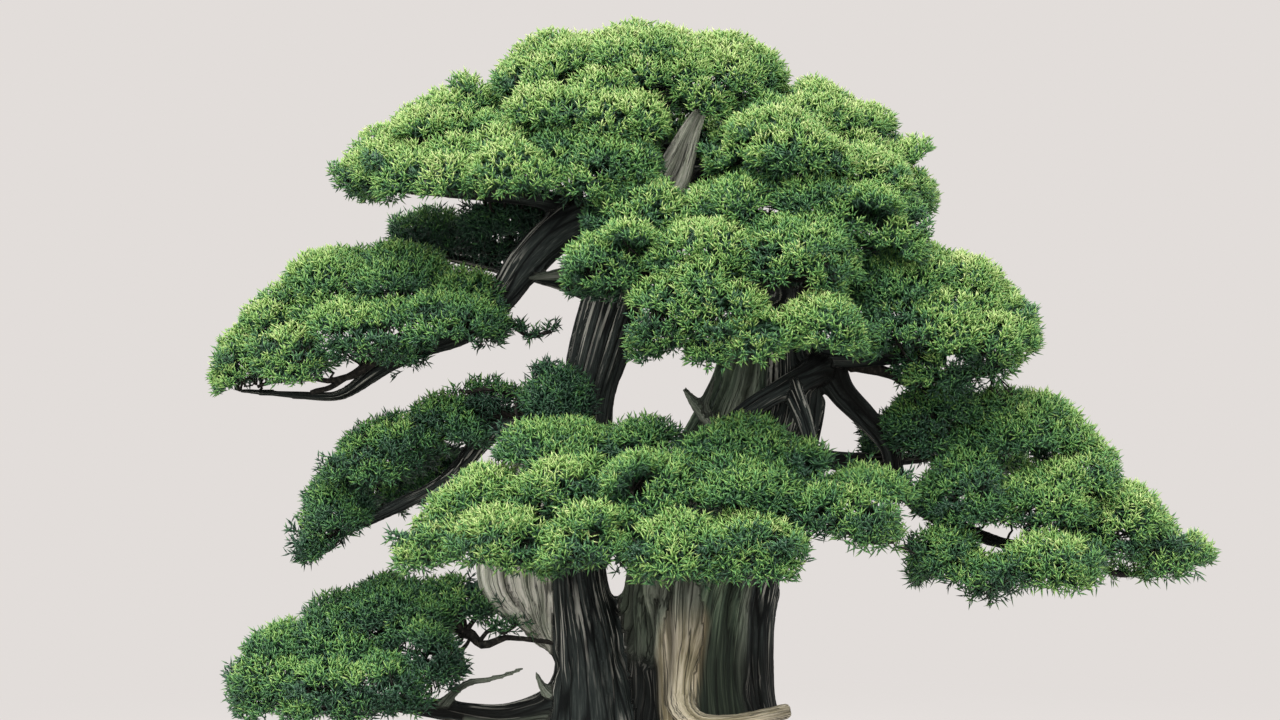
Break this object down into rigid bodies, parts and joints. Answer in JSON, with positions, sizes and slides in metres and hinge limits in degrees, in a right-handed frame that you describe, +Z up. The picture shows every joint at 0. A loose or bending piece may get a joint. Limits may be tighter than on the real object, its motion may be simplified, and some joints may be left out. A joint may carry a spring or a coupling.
{
  "type": "bonsai tree in a pot",
  "caption": "Informal twin-trunk juniper bonsai with layered foliage pads and bleached deadwood, planted in a plain unglazed rectangular tray.",
  "frame": {"origin": "on the surface under the pot's feet, at the middle of the whole tree's length and depth", "axes": "+X to the viewer's right along the long side of the pot, +Y away from the front of the tree, +Z up"},
  "size_m": [0.8455, 0.4518, 0.7769],
  "materials": {
    "bark_and_deadwood": "dark fissured bark with bleached grey grain on the dead wood",
    "juniper_foliage": "dense soft needle shoots, fresh green on top and deep blue-green beneath",
    "potting_grit": "matt baked-clay grit with a little moss",
    "unglazed_stoneware": "matt unglazed stoneware",
    "plastic_netting": "moulded black netting",
    "anchor_wire": "brown anodised wire"
  },
  "bodies": {
    "root": {"trunk_and_branches": "bark_and_deadwood", "foliage_crown_top": "juniper_foliage", "foliage_crown_left": "juniper_foliage", "foliage_crown_right": "juniper_foliage", "foliage_upper_front": "juniper_foliage", "foliage_upper_skirt": "juniper_foliage", "foliage_right_middle": "juniper_foliage", "foliage_right_lower": "juniper_foliage", "foliage_right_front": "juniper_foliage", "foliage_left_upper": "juniper_foliage", "foliage_left_shaded": "juniper_foliage", "foliage_left_middle": "juniper_foliage", "foliage_left_inner": "juniper_foliage", "foliage_left_lower": "juniper_foliage", "foliage_front_left": "juniper_foliage", "foliage_front_centre": "juniper_foliage", "foliage_front_right": "juniper_foliage", "foliage_back_upper": "juniper_foliage", "foliage_back_middle": "juniper_foliage", "foliage_back_right": "juniper_foliage", "foliage_back_left": "juniper_foliage", "foliage_back_lower": "juniper_foliage", "soil": "potting_grit", "pot": "unglazed_stoneware", "drainage_mesh_left": "plastic_netting", "drainage_mesh_right": "plastic_netting", "anchor_wire": "anchor_wire"}
  },
  "joints": []
}
